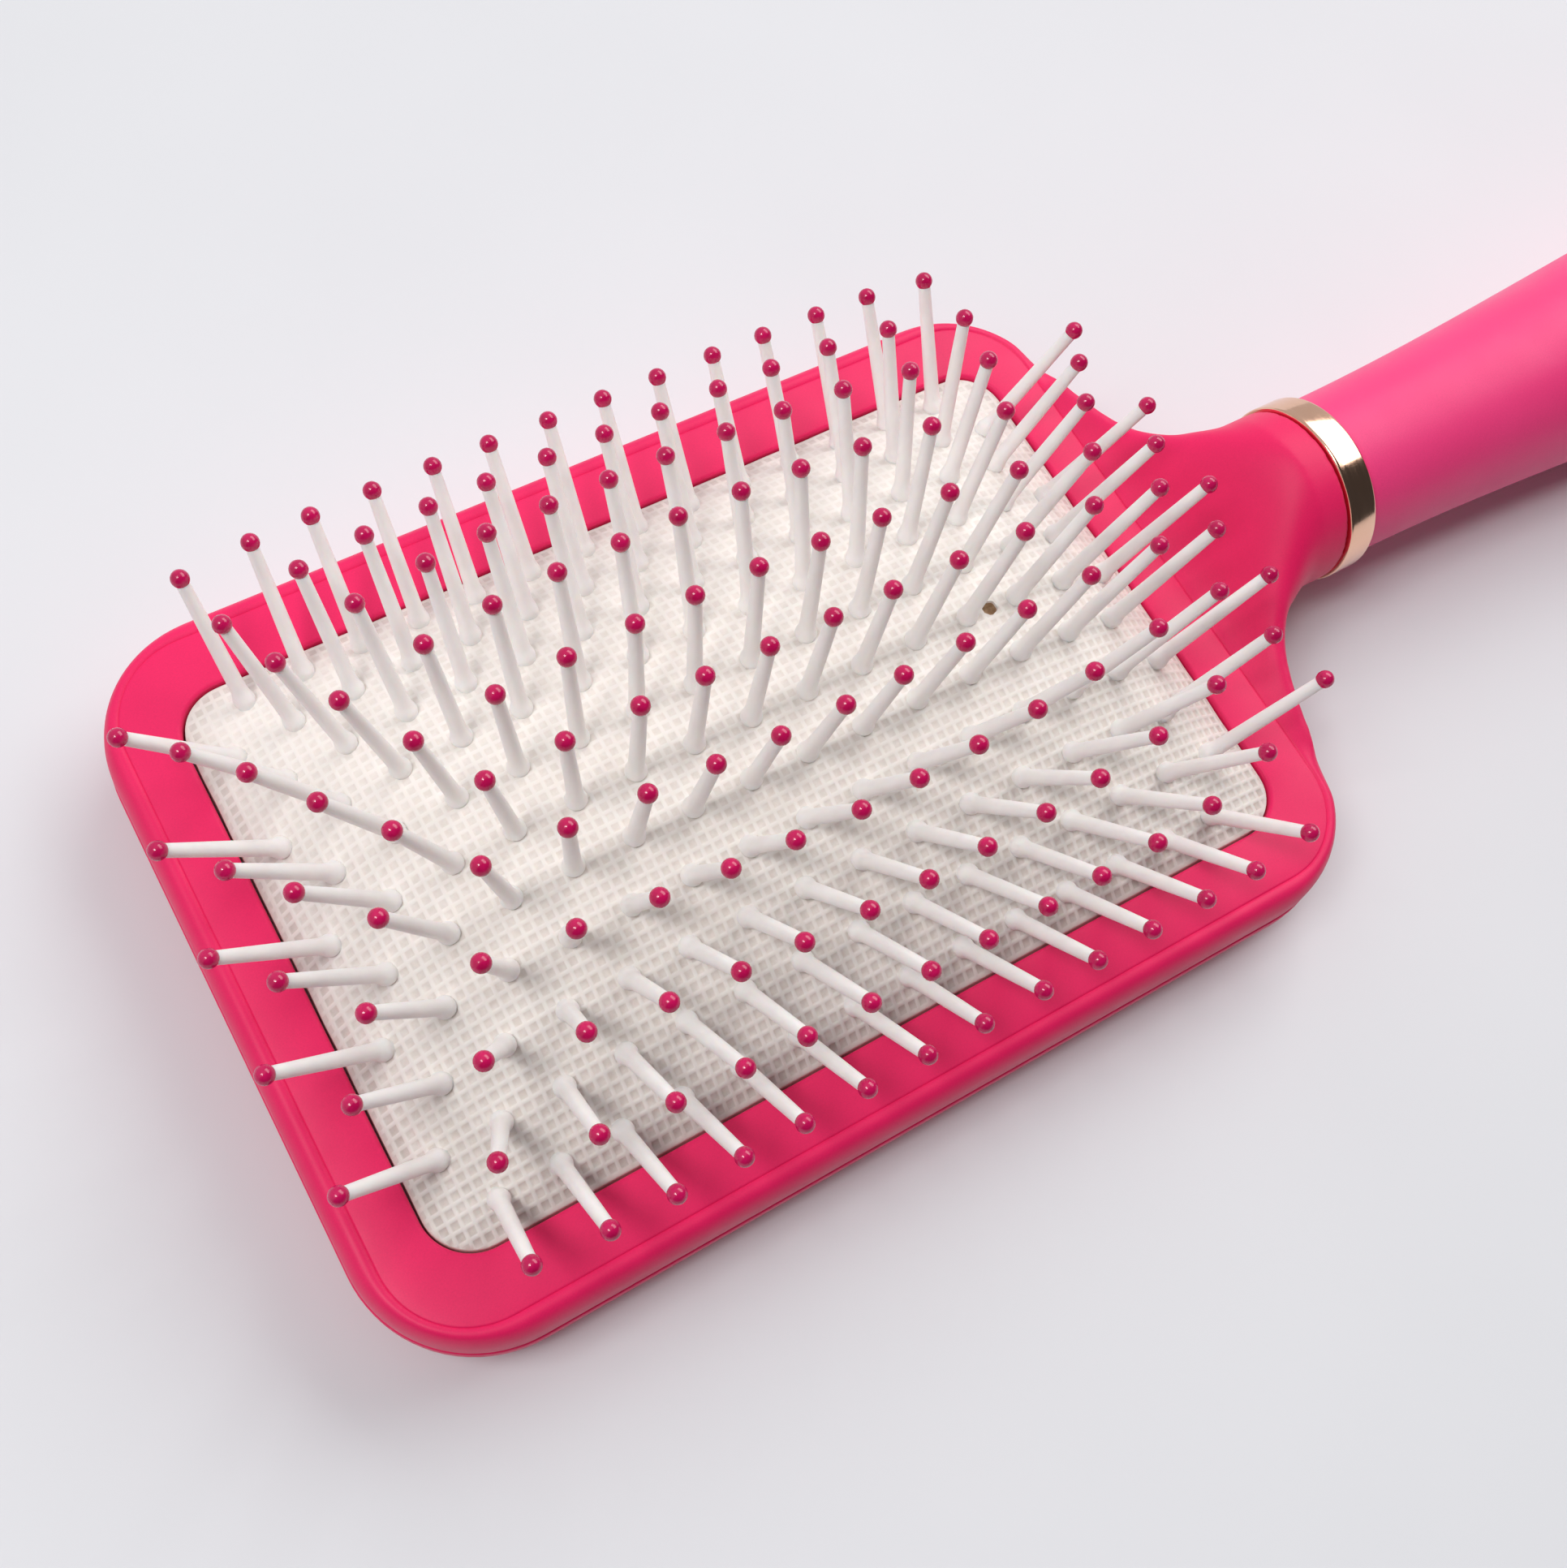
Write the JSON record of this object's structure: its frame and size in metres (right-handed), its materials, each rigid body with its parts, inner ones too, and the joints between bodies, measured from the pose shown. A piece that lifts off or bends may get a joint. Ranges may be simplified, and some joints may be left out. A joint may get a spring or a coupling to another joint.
{
  "type": "paddle hair brush",
  "caption": "Rectangular paddle hair brush: ball-tipped pins on a domed air cushion, round neck, metal ring and round handle.",
  "frame": {"origin": "on the surface the brush lies on, below the middle of its length, on its plane of symmetry", "axes": "+X from the toe of the head to the end of the handle, +Z the way the pins point, and +Y across the head"},
  "size_m": [0.246, 0.0828, 0.0409],
  "materials": {
    "head_pink": "hot pink soft-touch paint, satin",
    "grip_pink": "lighter pink satin soft-touch coating",
    "cushion_rubber": "off-white rubber with a fine square grid",
    "pin_nylon": "white translucent nylon",
    "pin_tip_crimson": "glossy crimson dipped ball tips",
    "rose_gold": "polished rose-gold plating",
    "inner_plastic": "plain grey moulding, out of sight"
  },
  "bodies": {
    "brush": {"head_body": "head_pink", "pad_bezel": "head_pink", "back_shell": "head_pink", "pad_retainer": "inner_plastic", "cushion_pad": "cushion_rubber", "ferrule_ring": "rose_gold", "handle_core": "inner_plastic", "handle_sleeve": "grip_pink", "end_cap": "grip_pink"},
    "cushion": {"pin_row_01": "pin_nylon", "pin_row_02": "pin_nylon", "pin_row_03": "pin_nylon", "pin_row_04": "pin_nylon", "pin_row_05": "pin_nylon", "pin_row_06": "pin_nylon", "pin_row_07": "pin_nylon", "pin_row_08": "pin_nylon", "pin_row_09": "pin_nylon", "pin_row_10": "pin_nylon", "pin_row_11": "pin_nylon"}
  },
  "joints": [
    {"name": "cushion_press", "type": "slide", "parent": "brush", "child": "cushion", "axis": [0, 0, -1], "range_m": [0, 0.003], "stiffness_N_per_m": 3000, "deforming": ["cushion_pad"]}
  ]
}
